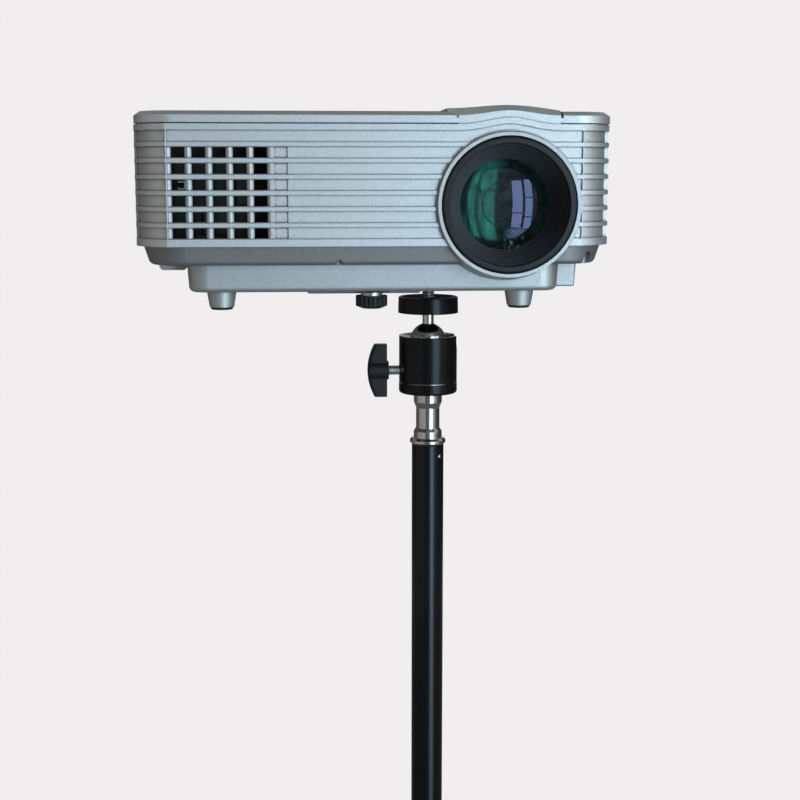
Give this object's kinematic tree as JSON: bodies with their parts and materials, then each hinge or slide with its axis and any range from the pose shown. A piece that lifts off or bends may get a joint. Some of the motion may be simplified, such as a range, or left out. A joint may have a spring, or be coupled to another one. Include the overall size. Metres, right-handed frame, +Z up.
{
  "type": "portable projector on a telescopic tripod stand",
  "caption": "Small silver LED projector with ribbed case and large black lens, screwed on a mini ball head on a slim black telescopic pole with a folding tripod base.",
  "frame": {"origin": "on the floor, under the axis of the pole", "axes": "+Z up the pole, lens looks along -Y, +X to the right seen from in front of the lens"},
  "size_m": [0.4944, 0.4305, 1.0101],
  "materials": {
    "silver_case": "metallic paint, satin",
    "lens_black": "satin",
    "lens_glass": "coated, polished",
    "black_plastic": "satin",
    "black_metal": "black anodised, satin",
    "chrome": "polished",
    "steel": "turned",
    "rubber": "matt",
    "board": "solder mask"
  },
  "bodies": {
    "stand": {"lower_tube": "black_metal", "tube_clamp": "black_plastic", "tube_clamp_knob": "black_plastic", "leg_hub": "black_plastic", "leg_hub_knob": "black_plastic", "brace_hub": "black_plastic", "leg_1": "black_metal", "brace_1": "black_metal", "leg_tip_1": "rubber", "leg_2": "black_metal", "brace_2": "black_metal", "leg_tip_2": "rubber", "leg_3": "black_metal", "brace_3": "black_metal", "leg_tip_3": "rubber"},
    "pole": {"spigot": "chrome", "top_tube": "black_metal", "slide_bush": "black_plastic", "pan_base": "black_metal", "pan_washer": "steel"},
    "head": {"ball_housing": "black_metal"},
    "knob": {"clamp_screw": "steel", "clamp_knob": "black_plastic"},
    "ball_body": {"ball": "chrome"},
    "projector": {"front_panel": "silver_case", "left_side_wall": "silver_case", "right_side_wall": "silver_case", "rear_panel": "silver_case", "top_cover": "silver_case", "lens_hood_panel": "silver_case", "bottom_shell": "silver_case", "bottom_tray": "silver_case", "side_duct": "silver_case", "side_rail": "silver_case", "underside_pad": "silver_case", "projector_feet": "silver_case", "lens_collar": "silver_case", "control_keys": "black_plastic", "power_inlet": "black_plastic", "port_strip": "black_plastic", "tripod_socket": "steel", "foot_pads": "rubber", "levelling_flange": "black_plastic", "driver_board": "board", "head_plate": "black_metal", "plate_pad": "rubber", "camera_screw": "steel", "ball_stem": "chrome"},
    "focus": {"focus_ring": "lens_black", "front_lens": "lens_glass"},
    "levelling_foot": {"levelling_screw": "chrome", "levelling_wheel": "black_plastic"}
  },
  "joints": [
    {"name": "pole_slide", "type": "slide", "parent": "stand", "child": "pole", "axis": [0, 0, 1], "range_m": [-0.31, 0.04]},
    {"name": "head_pan", "type": "hinge", "parent": "pole", "child": "head", "pos_m": [0, 0, 0.8722], "axis": [0, 0, 1], "range_deg": [-180, 180]},
    {"name": "ball_tilt", "type": "hinge", "parent": "head", "child": "ball_body", "pos_m": [0, 0, 0.8983], "axis": [1, 0, 0], "range_deg": [-27, 27]},
    {"name": "ball_spin", "type": "hinge", "parent": "ball_body", "child": "projector", "pos_m": [0, 0, 0.8983], "axis": [0, 0, 1], "range_deg": [-180, 180]},
    {"name": "knob_turn", "type": "hinge", "parent": "head", "child": "knob", "pos_m": [-0.02, 0, 0.8835], "axis": [-1, 0, 0], "range_deg": [0, 180]},
    {"name": "focus_turn", "type": "hinge", "parent": "projector", "child": "focus", "pos_m": [0.0294, -0.068, 0.9664], "axis": [0, -1, 0], "range_deg": [-60, 60]},
    {"name": "levelling_slide", "type": "slide", "parent": "projector", "child": "levelling_foot", "axis": [0, 0, -1], "range_m": [0, 0.007]}
  ]
}
